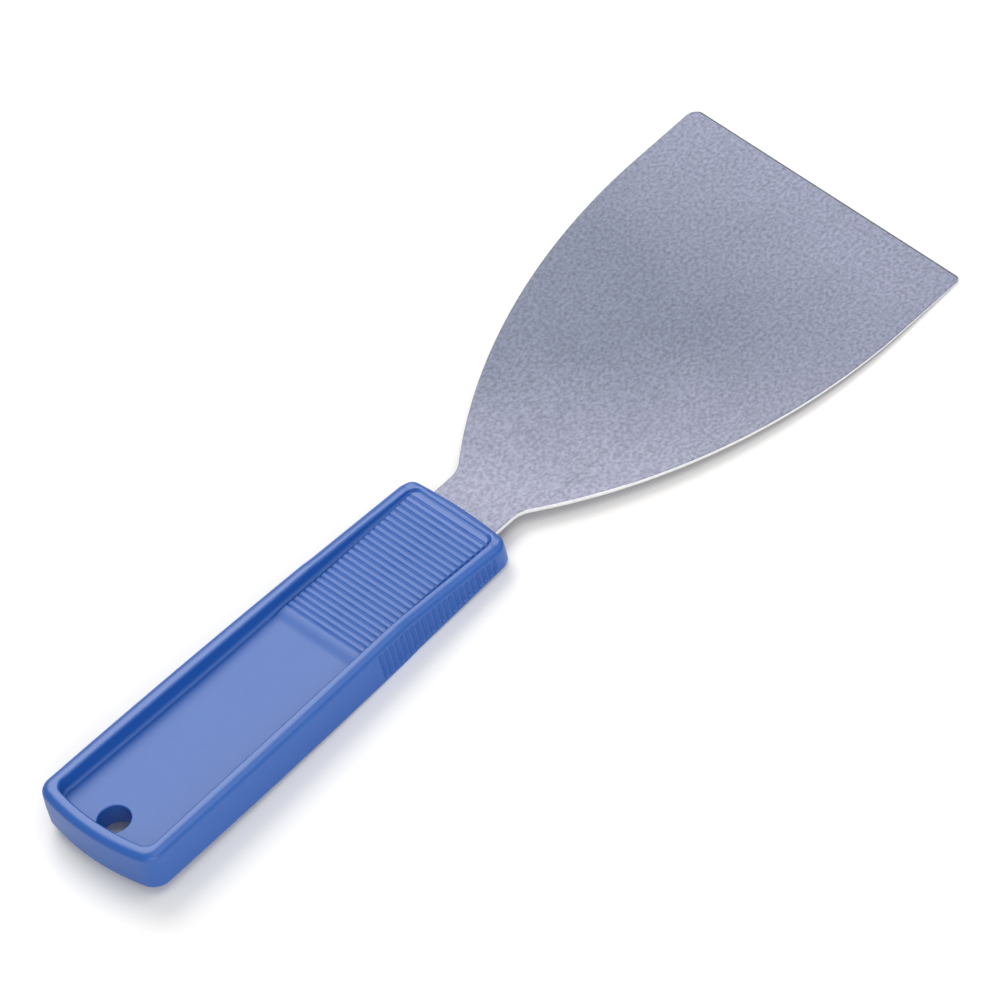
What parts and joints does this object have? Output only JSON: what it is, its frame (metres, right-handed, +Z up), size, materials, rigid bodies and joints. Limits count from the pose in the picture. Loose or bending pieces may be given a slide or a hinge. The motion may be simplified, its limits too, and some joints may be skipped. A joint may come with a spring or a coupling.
{
  "type": "drywall taping knife",
  "caption": "Putty and taping knife with a flared flexible steel blade moulded into a flat plastic handle that has a palm recess, a ridged thumb pad and a hanging hole.",
  "frame": {"origin": "centre of the bounding box, at the height of the face that the handle's lower rim rests on", "axes": "+X along the knife from the butt to the working edge, +Z up and square to the blade's face, Y across the knife, which is symmetric about its XZ plane"},
  "size_m": [0.207, 0.0762, 0.009],
  "materials": {
    "blade_steel": "tumbled satin spring steel",
    "handle_plastic": "moulded satin polypropylene"
  },
  "bodies": {
    "root": {"blade": "blade_steel", "handle": "handle_plastic"}
  },
  "joints": []
}
